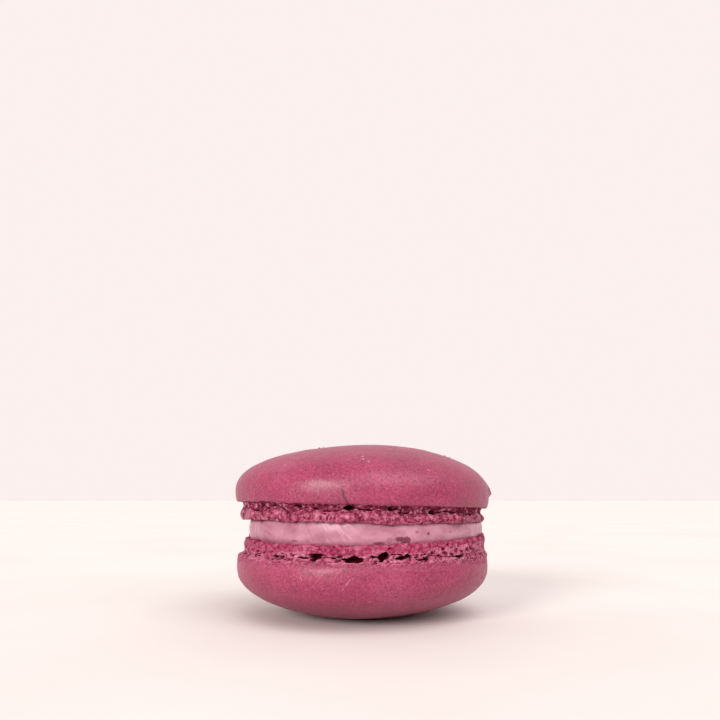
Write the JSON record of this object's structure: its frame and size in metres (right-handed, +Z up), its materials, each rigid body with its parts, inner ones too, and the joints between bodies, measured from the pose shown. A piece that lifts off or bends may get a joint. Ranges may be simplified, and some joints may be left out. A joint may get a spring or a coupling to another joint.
{
  "type": "macaron",
  "caption": "Round sandwich biscuit: domed almond meringue shells with a ragged crumb foot at each rim, joined by a soft buttercream disc.",
  "frame": {"origin": "middle of the small flat spot on the lower shell's crown, which the macaron stands on", "axes": "+Z up through both crowns, -Y towards the front, the side the picture shows, +X to the right"},
  "size_m": [0.0461, 0.0461, 0.0305],
  "materials": {
    "meringue": "baked almond meringue, matte and powdery, with a crumbly foot",
    "buttercream": "smooth buttercream, satin"
  },
  "bodies": {
    "root": {"bottom_shell": "meringue", "filling": "buttercream", "top_shell": "meringue"}
  },
  "joints": []
}
